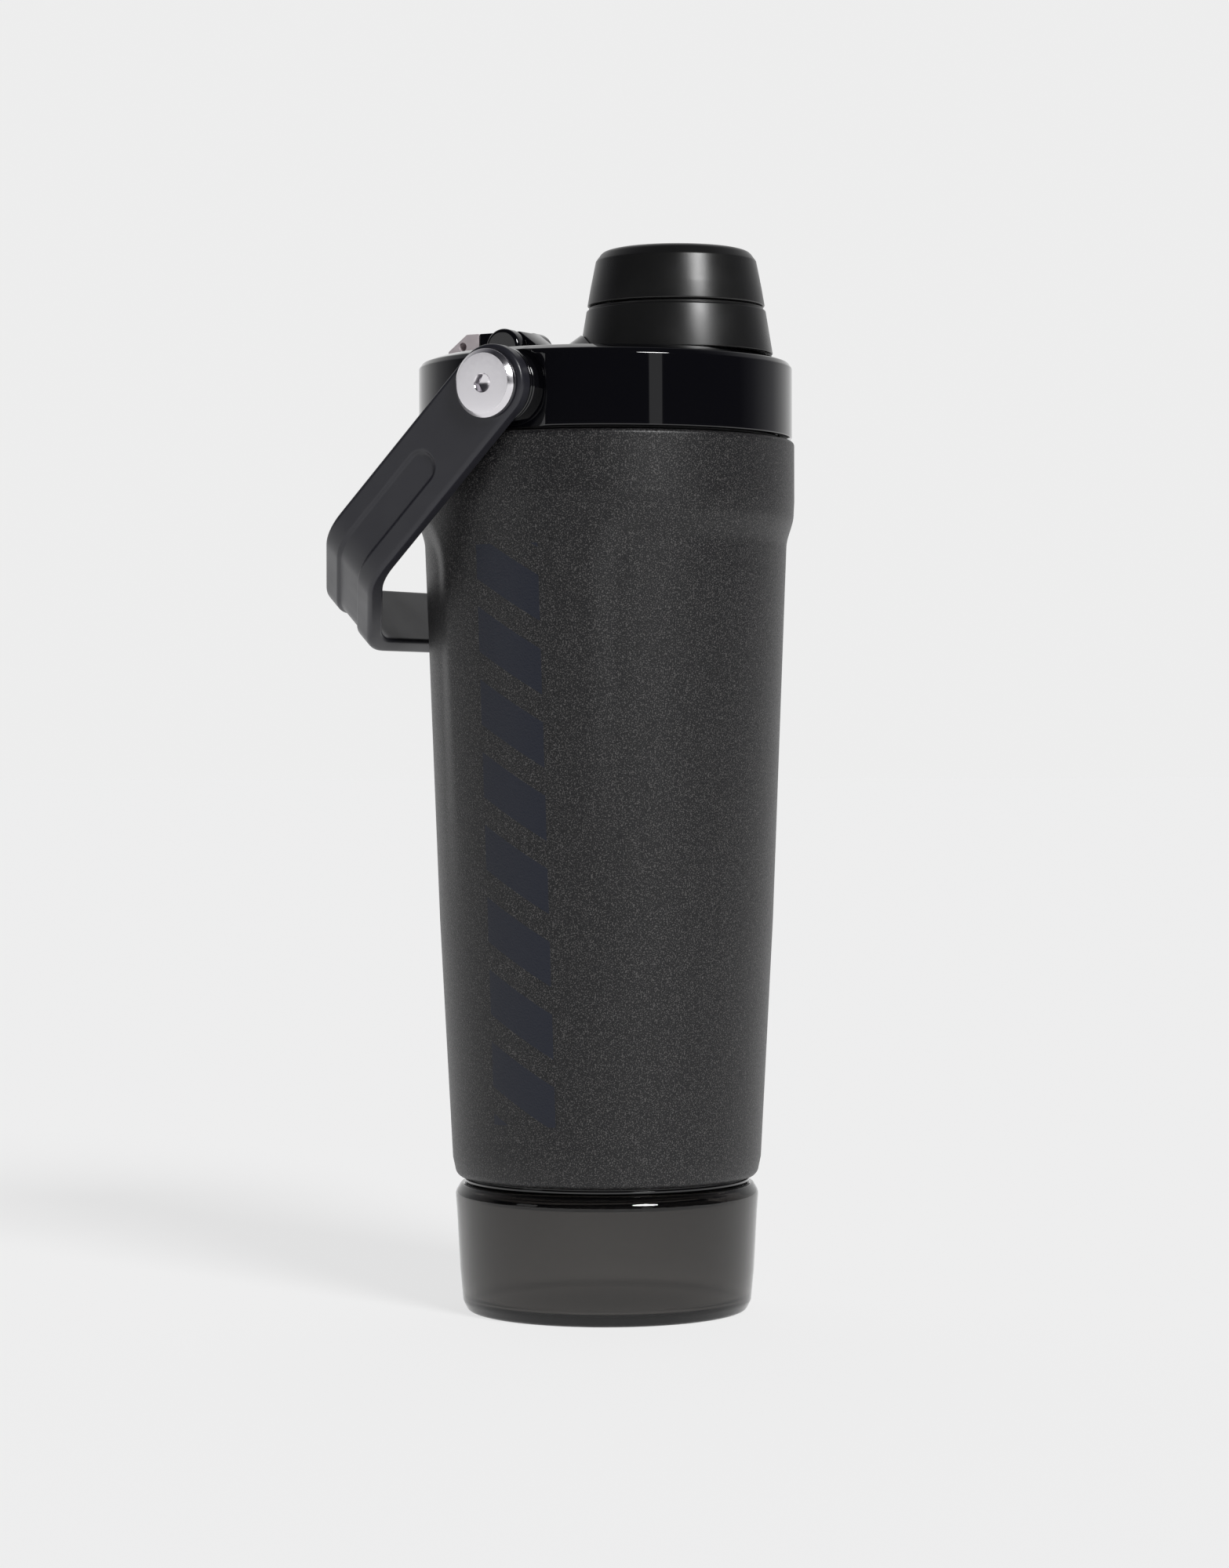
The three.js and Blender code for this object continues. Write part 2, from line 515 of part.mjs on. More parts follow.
const powderCoat = material(0x2b2c2e, 0.55, 0.2);
const steel = material(0xb9bbbd, 0.3, 1);
const smokeGloss = material(0x0d0d12, 0.08);
const smokeClear = material(0x4a4846, 0.1, 0, 0.6);
const smokeLight = material(0x8c8688, 0.15, 0, 0.6);
const matteBlack = material(0x1b1b1c, 0.5);
const strapBlack = material(0x26272b, 0.45);
const silicone = material(0x37383a, 0.8);
const screwSteel = material(0xc9c6cc, 0.2, 1);
const brass = material(0xb08d4a, 0.35, 1);

const bottle = new THREE.Group();

function piece(name, geometry, finish, parent = bottle) {
  const mesh = new THREE.Mesh(geometry, finish);
  mesh.name = name;
  parent.add(mesh);
  return mesh;
}

piece('storage_cup', storageCup(), smokeClear);
piece('storage_seal', storageSeal(), silicone);
piece('storage_ring', storageRing(), matteBlack);
piece('outer_shell', outerShell(), powderCoat);
piece('inner_liner', innerLiner(), steel);
piece('base_plate', basePlate(), steel);
piece('vacuum_plug', vacuumPlug(), steel);

piece('lid_gasket', lidGasket(), silicone);
piece('lid_collar', lidCollar(), smokeGloss);
piece('lid_core', lidCore(), matteBlack);
piece('mixing_grid', mixingGrid(), matteBlack);
piece('spout_shroud', spoutShroud(), matteBlack);

piece('cap_shell', capShell(), matteBlack);
piece('cap_liner', capLiner(), matteBlack);
piece('cap_seal', capSeal(), silicone);

piece('vent_lever', ventLever(), smokeGloss);
piece('lever_tip', leverTip(), smokeLight);
piece('lever_pin', leverPin(), screwSteel);
piece('vent_plug', ventPlug(), silicone);

for (const [label, side] of [['left', -1], ['right', 1]]) {
  piece(`pivot_screw_${label}`, alongPivot(pivotScrew(), side), screwSteel);
  piece(`pivot_bush_${label}`, alongPivot(pivotBush(), side), matteBlack);
  piece(`pivot_washer_${label}`, alongPivot(pivotWasher(), side), smokeGloss);
  piece(`thread_insert_${label}`, alongPivot(threadInsert(), side), brass);
}

// The handle is made flat and hung from the pivot: its length points down and back by the droop angle.
const swing = new THREE.Group();
const droop = THREE.MathUtils.degToRad(HANDLE.droop);
const away = new THREE.Vector3(-Math.cos(droop), 0, -Math.sin(droop));
const overWidth = new THREE.Vector3(Math.sin(droop), 0, -Math.cos(droop));
swing.applyMatrix4(new THREE.Matrix4().makeBasis(new THREE.Vector3(0, -1, 0), away, overWidth));
swing.position.z = PIVOT_Z;
piece('carry_handle', carryHandle(), strapBlack, swing);
bottle.add(swing);

export default bottle;
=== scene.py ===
"""Looks of the insulated shaker bottle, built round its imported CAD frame. Lengths are in millimetres
until a mesh is made, and in metres in the shaders and lights. The bottle stands on z = 0, its spout
is on the +X side, and the handle's pivots lie along Y."""

import math

import bmesh
import bpy
import numpy as np
from mathutils import Matrix, Vector


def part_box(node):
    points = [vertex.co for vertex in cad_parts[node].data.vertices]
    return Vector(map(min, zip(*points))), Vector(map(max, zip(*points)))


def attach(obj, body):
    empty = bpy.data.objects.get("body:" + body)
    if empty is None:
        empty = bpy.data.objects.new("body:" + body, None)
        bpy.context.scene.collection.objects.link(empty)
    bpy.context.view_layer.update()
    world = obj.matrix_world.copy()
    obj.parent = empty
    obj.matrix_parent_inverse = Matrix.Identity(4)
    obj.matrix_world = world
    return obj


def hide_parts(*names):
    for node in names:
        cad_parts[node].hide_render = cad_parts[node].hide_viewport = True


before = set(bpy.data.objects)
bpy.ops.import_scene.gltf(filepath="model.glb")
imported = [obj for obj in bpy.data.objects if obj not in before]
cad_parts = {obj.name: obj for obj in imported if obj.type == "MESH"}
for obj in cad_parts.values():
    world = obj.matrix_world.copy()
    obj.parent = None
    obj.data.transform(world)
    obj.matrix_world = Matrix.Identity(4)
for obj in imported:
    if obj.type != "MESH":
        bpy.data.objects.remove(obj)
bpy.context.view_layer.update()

MM = 0.001


def low(node):
    """Lowest corner of a CAD node, in millimetres."""
    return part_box(node)[0] / MM


def high(node):
    """Highest corner of a CAD node, in millimetres."""
    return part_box(node)[1] / MM


# ---- Sizes, in millimetres and degrees ----
GAP = 0.3  # between pieces that nearly touch
BODY_R = 45.5
SHEET = 0.6  # thickness of each of the vessel's steel walls
LINER = {"inset": 4.6, "bend": 44, "waist": 80, "shoulder": 186, "neck": 192, "bore": 41.0, "outer": 41.6}
CONE = {"foot_z": 36.0, "foot_r": 37.14, "slope": 0.0527}
PANEL = {"foot": 94.0, "head": 191.3, "half_angle": 64.0, "edge": 7.5, "corner": 14.0, "deepening": 0.015}
RING_R = 32.2
CUP_BORE = 34.0
PLUG_R = 38.9
FLANGE = {"radius": 42.0, "bottom": 211.8, "top": 213.6}
NECK = {"bore": 13.5, "outer": 15.4}
LID_THREAD = {"width": 2.2, "lead": 6, "bottom": 198.6, "turns": 1.4, "segments": 144}
CUP_THREAD = {"width": 0.9, "lead": 2.4, "bottom": 27.9, "turns": 0.5, "segments": 144}
CAP_THREAD = {"width": 1.7, "lead": 4.5, "bottom": 243, "turns": 1.1, "segments": 96}
DECK_Z = 229.0
DECK_SINK = 0.1  # how far a piece on the deck reaches into it
COVER = {"under": 226.2, "inner": 42.3, "outer": 45.0, "deck": 40.6}
SPOUT_X = (low("cap_shell").x + high("cap_shell").x) / 2
PIVOT_Z = (low("pivot_screw_left").z + high("pivot_screw_left").z) / 2
SPOUT_HOLE_R = 17.0
VENT_HOLE = {"x": low("vent_plug").x + 2.7, "radius": 1.9, "mouth": 3.2, "step": 228.1}
FLAT_Y = 43.7
BORE_R = 4.6  # through the handle, its washers and the lid's bosses
BOSS = {"radius": 8.8, "inner": 43.0, "face": 46.0}
WASHER_R = 9.0
HANDLE = {"outer": 51.8, "thick": 4.2, "half_width": 9.27, "reach": 77.2, "arm_end": 55.7,
          "bar_end": 30.3, "bend": 14.0, "edge": 1.0, "droop": 44.5}
DIMPLE = {"start": 22.3, "half_width": 4.3, "depth": 0.75, "edge": 0.9}
SCREW = {"head_r": 8.0, "face_r": 7.0, "shank_r": 2.5, "tip": 36, "socket_flats": 4.0}
LEVER = {"x": -24.5, "z": 232.7, "top": 237, "bottom": 229.8, "half_width": 4.5, "edge": 0.35}
KNUCKLE = {"inner": 4.8, "outer": 8.3, "radius": 4.8, "edge": 0.9, "segments": 96}
BARS = {"half_width": 8.5, "middle": 115.0, "half_height": 68.0, "slant": 0.6, "pitch": 17.0, "share": 0.62}
SMOOTHEST = 384  # segments round the outer wall and the lid
ROUND = 256  # segments round another large piece
FINE = 160  # segments round a small one
COARSE = 64  # segments round a small hole

# ---- Colours, linear ----
COAT = (0.0036, 0.0036, 0.0046)
PRINT = (0.006, 0.0085, 0.019)
# Painted glints: light specks put into the coat's base colour in place of the sparkle its grain shows in
# light.
PAINTED_GLINT = (0.08, 0.077, 0.076)
SMOKE = 440  # how fast the cup's plastic absorbs light, per metre, on top of the tint of its faces

# ---- Camera, in millimetres and degrees ----
CAMERA = {"azimuth": 31.5, "distance": 966.0, "height": 134.6, "lens": 91.75, "pitch": -0.463,
          "yaw": -0.118, "roll": -0.11}


def make_camera():
    """The photograph's view: it looks across at the bottle's axis, with small turns from there."""
    data = bpy.data.cameras.new("camera")
    data.lens = CAMERA["lens"]
    data.sensor_width = 36
    data.clip_start = 0.05
    data.clip_end = 20
    camera = bpy.data.objects.new("camera", data)
    bpy.context.collection.objects.link(camera)
    azimuth = math.radians(CAMERA["azimuth"])
    distance = CAMERA["distance"] * MM
    place = Vector((math.sin(azimuth) * distance, -math.cos(azimuth) * distance, CAMERA["height"] * MM))
    turn = Matrix.Rotation(azimuth + math.radians(CAMERA["yaw"]), 4, "Z")
    tilt = Matrix.Rotation(math.radians(90 + CAMERA["pitch"]), 4, "X")
    roll = Matrix.Rotation(math.radians(CAMERA["roll"]), 4, "Z")
    camera.matrix_world = Matrix.Translation(place) @ turn @ tilt @ roll
    bpy.context.scene.camera = camera


# ---- Outlines ----
def filleted(points, closed=True, step=9.0):
    """Points of an outline given as (a, b) or (a, b, radius), with each corner of a radius made an arc."""
    out = []
    count = len(points)
    for i, point in enumerate(points):
        corner = Vector(point[:2])
        radius = point[2] if len(point) > 2 else 0
        at_end = not closed and i in (0, count - 1)
        if radius == 0 or at_end:
            out.append(tuple(corner))
            continue
        before = (Vector(points[i - 1][:2]) - corner).normalized()
        after = (Vector(points[(i + 1) % count][:2]) - corner).normalized()
        half = math.acos(max(-1, min(1, before.dot(after)))) / 2
        centre = corner + (before + after).normalized() * (radius / math.sin(half))
        first = corner + before * (radius / math.tan(half)) - centre
        last = corner + after * (radius / math.tan(half)) - centre
        sweep = math.atan2(first.x * last.y - first.y * last.x, first.dot(last))
        steps = max(2, math.ceil(abs(math.degrees(sweep)) / step))
        for k in range(steps + 1):
            angle = sweep * k / steps
            out.append((centre.x + first.x * math.cos(angle) - first.y * math.sin(angle),
                        centre.y + first.x * math.sin(angle) + first.y * math.cos(angle)))
    return out


def circle(count):
    """Angles spaced evenly round a full turn."""
    return np.linspace(0, 2 * math.pi, count, endpoint=False)


def smoothstep(value):
    """A soft ramp from 0 to 1."""
    value = np.clip(value, 0, 1)
    return value * value * (3 - 2 * value)


# ---- Meshes ----
def make_object(name, verts, faces, sharp=32):
    """A smooth-shaded object from vertices in millimetres, with edges sharper than the angle kept crisp."""
    mesh = bpy.data.meshes.new(name)
    mesh.from_pydata([tuple(v) for v in np.asarray(verts) * MM], [], faces)
    obj = bpy.data.objects.new(name, mesh)
    bpy.context.collection.objects.link(obj)
    tidy(obj, sharp)
    return obj


def tidy(obj, sharp=32):
    """Merges doubled points, turns the faces outward and shades smooth up to the sharp angle."""
    work = bmesh.new()
    work.from_mesh(obj.data)
    bmesh.ops.remove_doubles(work, verts=work.verts, dist=1e-7)
    bmesh.ops.dissolve_degenerate(work, edges=work.edges, dist=1e-8)
    bmesh.ops.recalc_face_normals(work, faces=work.faces)
    work.to_mesh(obj.data)
    work.free()
    obj.data.shade_smooth()
    obj.data.set_sharp_from_angle(angle=math.radians(sharp))


def revolve(name, profile, segments=ROUND, centre=(0, 0), reshape=None):
    """A profile of (radius, height) turned round a vertical axis. One that doesn't start and end on
    the axis is closed on itself."""
    profile = np.array(profile, float)
    on_axis = profile[0, 0] == 0 and profile[-1, 0] == 0
    angles = circle(segments)
    radius, height = profile[:, 0], profile[:, 1]
    x = np.outer(np.cos(angles), radius)
    y = np.outer(np.sin(angles), radius)
    z = np.tile(height, (segments, 1))
    verts = np.stack([x, y, z], axis=-1).reshape(-1, 3)
    if reshape:
        verts = reshape(verts)
    verts = verts + np.array([centre[0], centre[1], 0])
    count = len(profile)
    faces = []
    for i in range(segments):
        a, b = i * count, ((i + 1) % segments) * count
        for j in range(count - 1 if on_axis else count):
            k = (j + 1) % count
            faces.append((a + j, b + j, b + k, a + k))
    return make_object(name, verts, faces)


def lay_along_y(obj, side, height):
    """Turns an upright piece so that its +Z points outward along Y on one side, at a height."""
    turn = Matrix.Rotation(-side * math.pi / 2, 4, "X")
    obj.data.transform(Matrix.Translation((0, 0, height * MM)) @ turn)
    return obj


def screw_ridge(root, height, thread, centre=(0, 0)):
    """A right-handed thread of round-shouldered section that fades out at both ends. A ridge of
    negative height stands inward from its root."""
    half = thread["width"] / 2
    turns = thread["turns"]
    inward = height < 0
    section = [(-half * 1.25, -0.4), (half * 1.25, -0.4), (half, 0.0), (half * 0.62, 0.72),
               (half * 0.35, 1.0), (-half * 0.35, 1.0), (-half * 0.62, 0.72), (-half, 0.0)]
    steps = round(turns * thread["segments"])
    verts, faces = [], []
    for i in range(steps + 1):
        along = i / steps
        strength = smoothstep(min(along, 1 - along) * turns * 9) * 0.96 + 0.04
        angle = along * turns * 2 * math.pi + (math.pi if inward else 0)
        level = thread["bottom"] + along * turns * thread["lead"]
        for across, out in section:
            reach = out * abs(height) * strength if out > 0 else out
            radius = root - reach if inward else root + reach
            verts.append((centre[0] + radius * math.cos(angle), centre[1] + radius * math.sin(angle),
                          level + across))
    count = len(section)
    for i in range(steps):
        for j in range(count):
            k = (j + 1) % count
            faces.append((i * count + j, i * count + k, (i + 1) * count + k, (i + 1) * count + j))
    faces.append(tuple(reversed(range(count))))
    faces.append(tuple(range(steps * count, steps * count + count)))
    return make_object("ridge", verts, faces)


def extrude(name, outline, y_from, y_to, bevel=0.0):
    """An outline in X and Z pushed along Y, with its edges rounded by the bevel."""
    count = len(outline)
    verts = [(x, y, z) for y in (y_from, y_to) for x, z in outline]
    faces = [tuple(range(count)), tuple(reversed(range(count, 2 * count)))]
    faces += [(i, (i + 1) % count, count + (i + 1) % count, count + i) for i in range(count)]
    obj = make_object(name, verts, faces)
    if bevel:
        soften(obj, bevel)
    return obj


def apply_modifiers(obj):
    """Replaces the mesh by what its modifiers make of it."""
    bpy.context.view_layer.update()
    evaluated = obj.evaluated_get(bpy.context.evaluated_depsgraph_get())
    mesh = bpy.data.meshes.new_from_object(evaluated)
    obj.modifiers.clear()
    old = obj.data
    obj.data = mesh
    bpy.data.meshes.remove(old)


def soften(obj, width):
    """Rounds every edge where the faces turn by more than 35 degrees."""
    bevel = obj.modifiers.new("bevel", "BEVEL")
    bevel.width = width * MM
    bevel.segments = 3
    bevel.limit_method = "ANGLE"
    bevel.angle_limit = math.radians(35)
    apply_modifiers(obj)
    obj.data.shade_smooth()
    obj.data.set_sharp_from_angle(angle=math.radians(50))


def combine(obj, operation, *tools):
    """Joins, cuts or intersects obj with the tools, which are used up."""
    for tool in tools:
        boolean = obj.modifiers.new("boolean", "BOOLEAN")
        boolean.operation = operation
        boolean.solver = "EXACT"
        boolean.object = tool
        apply_modifiers(obj)
        mesh = tool.data
        bpy.data.objects.remove(tool)
        bpy.data.meshes.remove(mesh)
    tidy(obj)
    return obj


def fit(obj, body, material, slot, *nodes):
    """Puts a finished piece on its body, with its material, in place of its CAD nodes."""
    obj.data.materials.clear()
    obj.data.materials.append(material)
    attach(obj, body)
    if nodes:
        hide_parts(*nodes)
    return obj


# ---- Materials ----
def shader(name, color, roughness, metallic=0.0, **sockets):
    """A Principled material whose even values are set straight on the shader's sockets."""
    material = bpy.data.materials.new(name)
    material.use_nodes = True
    node = material.node_tree.nodes["Principled BSDF"]
    node.inputs["Base Color"].default_value = (*color, 1)
    node.inputs["Roughness"].default_value = roughness
    node.inputs["Metallic"].default_value = metallic
    for socket, value in sockets.items():
        node.inputs[socket.replace("_", " ")].default_value = value
    return material, node


def add_node(material, kind, **settings):
    """A node with its sockets or, failing those, its properties set by name."""
    node = material.node_tree.nodes.new(kind)
    for key, value in settings.items():
        if key in node.inputs:
            node.inputs[key].default_value = value
        else:
            setattr(node, key, value)
    return node


def object_noise(material, scale, detail, stretch=(1, 1, 1)):
    """Noise fixed to the object, with cells of about 1/scale metres."""
    place = add_node(material, "ShaderNodeTexCoord")
    mapping = add_node(material, "ShaderNodeMapping", Scale=stretch)
    noise = add_node(material, "ShaderNodeTexNoise", Scale=scale, Detail=detail)
    link = material.node_tree.links.new
    link(place.outputs["Object"], mapping.inputs["Vector"])
    link(mapping.outputs["Vector"], noise.inputs["Vector"])
    return noise.outputs["Fac"]


def remap(material, value, low_in, high_in, low_out, high_out):
    """A node's output stretched from one range to another."""
    node = add_node(material, "ShaderNodeMapRange")
    ranges = {"From Min": low_in, "From Max": high_in, "To Min": low_out, "To Max": high_out}
    for socket, number in ranges.items():
        node.inputs[socket].default_value = number
    material.node_tree.links.new(value, node.inputs["Value"])
    return node.outputs["Result"]


def add_bump(material, shader_node, value, strength, depth):
    """Bump of a real depth in millimetres."""
    bump = add_node(material, "ShaderNodeBump", Strength=strength, Distance=depth * MM)
    material.node_tree.links.new(value, bump.inputs["Height"])
    material.node_tree.links.new(bump.outputs["Normal"], shader_node.inputs["Normal"])


def add_roughness(material, shader_node, value, least, most):
    """Roughness that wanders between two values with a noise."""
    rough = remap(material, value, 0.3, 0.7, least, most)
    material.node_tree.links.new(rough, shader_node.inputs["Roughness"])


def satin_plastic(name, color, roughness, grain=2600, depth=0.012):
    """Moulded plastic with a fine grain, given by its noise scale and its depth in millimetres."""
    material, node = shader(name, color, roughness, Specular_IOR_Level=0.5)
    add_bump(material, node, object_noise(material, grain, 3), 0.35, depth)
    add_roughness(material, node, object_noise(material, 90, 4), roughness - 0.05, roughness + 0.05)
    return material


def gloss_plastic(name, color, roughness=0.04):
    """Polished plastic, very slightly wavy."""
    material, node = shader(name, color, roughness, Coat_Weight=0.4, Coat_Roughness=0.02)
    add_roughness(material, node, object_noise(material, 60, 4), roughness, roughness + 0.03)
    add_bump(material, node, object_noise(material, 25, 1), 0.05, 0.02)
    return material


def metal(name, color, roughness, grain=(1, 1, 1), spread=0.05, depth=0.001):
    """Bare metal with a fine grain, which can be stretched into streaks."""
    material, node = shader(name, color, roughness, 1.0)
    streaks = object_noise(material, 900, 3, grain)
    add_bump(material, node, streaks, 0.1, depth)
    add_roughness(material, node, streaks, roughness - spread, roughness + spread)
    return material


def calc(material, operation, *values):
    """A sum on numbers and other nodes' outputs."""
    node = add_node(material, "ShaderNodeMath", operation=operation)
    for socket, value in zip(node.inputs, values):
        if isinstance(value, (int, float)):
            socket.default_value = value
        else:
            material.node_tree.links.new(value, socket)
    return node.outputs["Value"]


def blend(material, share, first, second):
    """A colour between two, each a plain colour or another node's output."""
    node = add_node(material, "ShaderNodeMixRGB")
    link = material.node_tree.links.new
    link(share, node.inputs["Fac"])
    for socket, color in (("Color1", first), ("Color2", second)):
        if isinstance(color, tuple):
            node.inputs[socket].default_value = (*color, 1)
        else:
            link(color, node.inputs[socket])
    return node.outputs["Color"]


def slanted_bars(material):
    """1 inside a column of plain slanted bars on the -Y side of the wall, 0 elsewhere."""
    place = add_node(material, "ShaderNodeTexCoord")
    axes = add_node(material, "ShaderNodeSeparateXYZ")
    material.node_tree.links.new(place.outputs["Object"], axes.inputs["Vector"])
    x, y, z = axes.outputs
    column = calc(material, "LESS_THAN", calc(material, "ABSOLUTE", x), BARS["half_width"] * MM)
    front = calc(material, "LESS_THAN", y, 0.0)
    level = calc(material, "COMPARE", z, BARS["middle"] * MM, BARS["half_height"] * MM)
    climb = calc(material, "ADD", z, calc(material, "MULTIPLY", x, BARS["slant"]))
    wave = calc(material, "FRACT", calc(material, "DIVIDE", climb, BARS["pitch"] * MM))
    bars = calc(material, "LESS_THAN", wave, BARS["share"])
    return calc(material, "MULTIPLY", calc(material, "MULTIPLY", column, front),
                calc(material, "MULTIPLY", level, bars))


def powder_coat():
    """Charcoal powder coat: a fine pebbled skin, light specks painted into its colour as painted glints of
    its sparkle, and a tone-on-tone motif.
    """
    material, node = shader("powder_coat", COAT, 0.46, 0.0, Specular_IOR_Level=0.43)
    link = material.node_tree.links.new
    grain = object_noise(material, 2300, 2)
    # Painted glints: random light specks in the base colour stand in for the coat's sparkle.
    painted_glints = remap(material, object_noise(material, 3800, 0), 0.53, 0.74, 0.0, 1.0)
    coat = blend(material, painted_glints, COAT, PAINTED_GLINT)
    link(blend(material, slanted_bars(material), coat, PRINT), node.inputs["Base Color"])
    add_bump(material, node, grain, 0.8, 0.08)
    add_roughness(material, node, grain, 0.35, 0.47)
    return material


def smoked_clear():
    """Smoked clear plastic: tinted at its faces and darker the further light travels inside it."""
    material, _ = shader("smoked_clear", (0.5, 0.487, 0.475), 0.01, 0.0, Transmission_Weight=1.0, IOR=1.5)
    smoke = add_node(material, "ShaderNodeVolumeAbsorption", Density=SMOKE)
    smoke.inputs["Color"].default_value = (0.05, 0.03, 0.01, 1)
    output = material.node_tree.nodes["Material Output"]
    material.node_tree.links.new(smoke.outputs["Volume"], output.inputs["Volume"])
    return material


def smoked_window():
    """Lightly smoked plastic, cloudy enough to catch the light."""
    material, _ = shader("smoked_window", (0.72, 0.65, 0.67), 0.08, 0.0, Transmission_Weight=0.2, IOR=1.45)
    return material


MATERIALS = {
    "powder": powder_coat(),
    "smoked_cup": smoked_clear(),
    "smoked_lid": gloss_plastic("smoked_lid", (0.002, 0.002, 0.003)),
    "cap": satin_plastic("cap_satin", (0.009, 0.009, 0.009), 0.31),
    "strap": satin_plastic("strap_satin", (0.019, 0.019, 0.025), 0.34, 1400, 0.004),
    "black": satin_plastic("moulded_black", (0.012, 0.012, 0.013), 0.3),
    "gloss": gloss_plastic("gloss_black", (0.004, 0.004, 0.005)),
    "silicone": satin_plastic("silicone", (0.03, 0.03, 0.032), 0.6, 800, 0.01),
    "steel": metal("liner_steel", (0.56, 0.56, 0.57), 0.26, (1, 1, 30)),
    "screw": metal("screw_steel", (0.80, 0.78, 0.81), 0.18, spread=0.02, depth=0.0002),
    "brass": metal("brass", (0.72, 0.5, 0.22), 0.28),
    "window": smoked_window(),
}


# ---- Vessel ----
def wall_radius(z):
    """Radius of the vessel's outer face: a cone up to its full radius."""
    return np.minimum(BODY_R, CONE["foot_r"] + CONE["slope"] * (z - CONE["foot_z"]))


def sink_panels(verts):
    """Sinks the two grip panels on the +X and -X sides into the wall."""
    x, y, z = verts.T
    radius = np.hypot(x, y)
    from_x = np.arctan2(np.abs(y), np.abs(x))
    sideways = (math.radians(PANEL["half_angle"]) - from_x) * BODY_R
    down = PANEL["head"] - z
    corner = PANEL["corner"]
    in_corner = (sideways < corner) & (down < corner)
    reach = np.hypot(corner - sideways, corner - down)
    inside = np.where(in_corner, corner - reach, np.minimum(sideways, down))
    depth = smoothstep(inside / PANEL["edge"]) * PANEL["deepening"] * np.maximum(z - PANEL["foot"], 0)
    depth = np.where(z < PANEL["head"], depth, 0)
    scale = 1 - depth / radius
    return np.stack([x * scale, y * scale, z], axis=-1)


def outer_shell():
    """Outer wall, with its foot turned under and its rim turned in to the mouth."""
    bottom, top = low("outer_shell").z, high("outer_shell").z
    # Rows crowd at the panels' heads, where the wall steps in.
    levels = np.concatenate([np.linspace(37, 176, 47), np.linspace(178, 196, 46), [197.5, 200, 204, 207]])
    foot = filleted([(33.9, bottom), (wall_radius(bottom) - 0.6, bottom, 2.4), (wall_radius(40), 40)],
                    False, 6)
    outside = [(wall_radius(z), z) for z in levels]
    rim = filleted([(BODY_R, 207.5), (BODY_R, top, 1.1), (42, top), (42, top - 0.7),
                    (BODY_R - 1.5, top - 1.2), (wall_radius(196) - SHEET, 196)], False, 9)
    inside = [(wall_radius(z) - SHEET, z) for z in levels[::-6] if z < 195]
    under = [(35.6, 34.2), (34.4, 33.1), (33.9, 33.1)]
    profile = foot[:-1] + outside + rim + inside + under
    return revolve("shell_wall", profile, SMOOTHEST, reshape=sink_panels)


def inner_liner():
    """Inner wall, listed up its outer face, over the mouth and down its inner face."""
    floor, top = low("inner_liner").z, high("inner_liner").z
    bend, waist, shoulder, neck = LINER["bend"], LINER["waist"], LINER["shoulder"], LINER["neck"]
    bore, outer = LINER["bore"], LINER["outer"]

    def radius(z):
        return wall_radius(z) - LINER["inset"]

    outside = [(0, floor), (radius(bend), floor, 7), (radius(waist), waist), (radius(shoulder), shoulder, 3),
               (outer, neck, 3), (outer, top, 0.25)]
    inside = [(bore, top, 0.25), (bore, neck + 0.3, 3), (radius(shoulder) - SHEET, shoulder + 0.3, 3),
              (radius(waist) - SHEET, waist), (radius(bend) - SHEET, floor + SHEET, 6.4), (0, floor + 1.1)]
    liner = revolve("liner_wall", filleted(outside + inside, False))
    return combine(liner, "UNION", screw_ridge(bore, -1.2, LID_THREAD))


def storage_ring():
    """Threaded ring whose flange closes the wall's foot and whose lower end goes into the cup."""
    bottom, top = low("storage_ring").z, high("storage_ring").z
    bore, collar, flange = 29.4, 33.5, 34.4
    flange_bottom, flange_top = 31.2, 31.9
    profile = filleted([(bore, bottom, 0.3), (RING_R, bottom, 0.4), (RING_R, flange_bottom, 0.3),
                        (flange, flange_bottom, 0.2), (flange, flange_top, 0.2), (collar, flange_top),
                        (collar, top, 0.3), (bore, top, 0.3)])
    ring = revolve("neck_ring", profile)
    return combine(ring, "UNION", screw_ridge(RING_R, 1.2, CUP_THREAD))


def storage_cup():
    """Smoked cup with a rolled shoulder and a floor that rises to a low dome inside."""
    top = high("storage_cup").z
    outside = [(0, 0), (33.6, 0, 1.4), (34.8, 2.4, 2.5), (35.5, 10), (36.25, 24), (36.6, 28.6, 2.6),
               (35.2, top, 0.9)]
    inside = [(CUP_BORE, top, 0.25), (CUP_BORE, 26, 3), (33.7, 18), (33.2, 3.0, 1.8), (29.0, 2.9, 6),
              (14, 4.0, 30), (0, 4.6)]
    cup = revolve("cup_wall", filleted(outside + inside, False, 6))
    return combine(cup, "UNION", screw_ridge(CUP_BORE, -1.3, CUP_THREAD))


def base_plate():
    """Disc that closes the space between the walls, with a dished middle and the plug's hole."""
    z = low("base_plate").z
    hole, edge, step, thick = 2.3, 34.2, 0.25, 0.9
    profile = filleted([(hole, z), (20, z), (22, z + step, 2), (edge, z + step, 0.2),
                        (edge, z + thick, 0.2), (hole, z + thick)])
    return revolve("base_disc", profile, FINE)


# ---- Lid ----
def flatten_sides(verts):
    """The two flats where the handle's bosses stand."""
    verts = verts.copy()
    outer = np.hypot(verts[:, 0], verts[:, 1]) > BOSS["inner"]
    verts[outer, 1] = np.clip(verts[outer, 1], -FLAT_Y, FLAT_Y)
    return verts


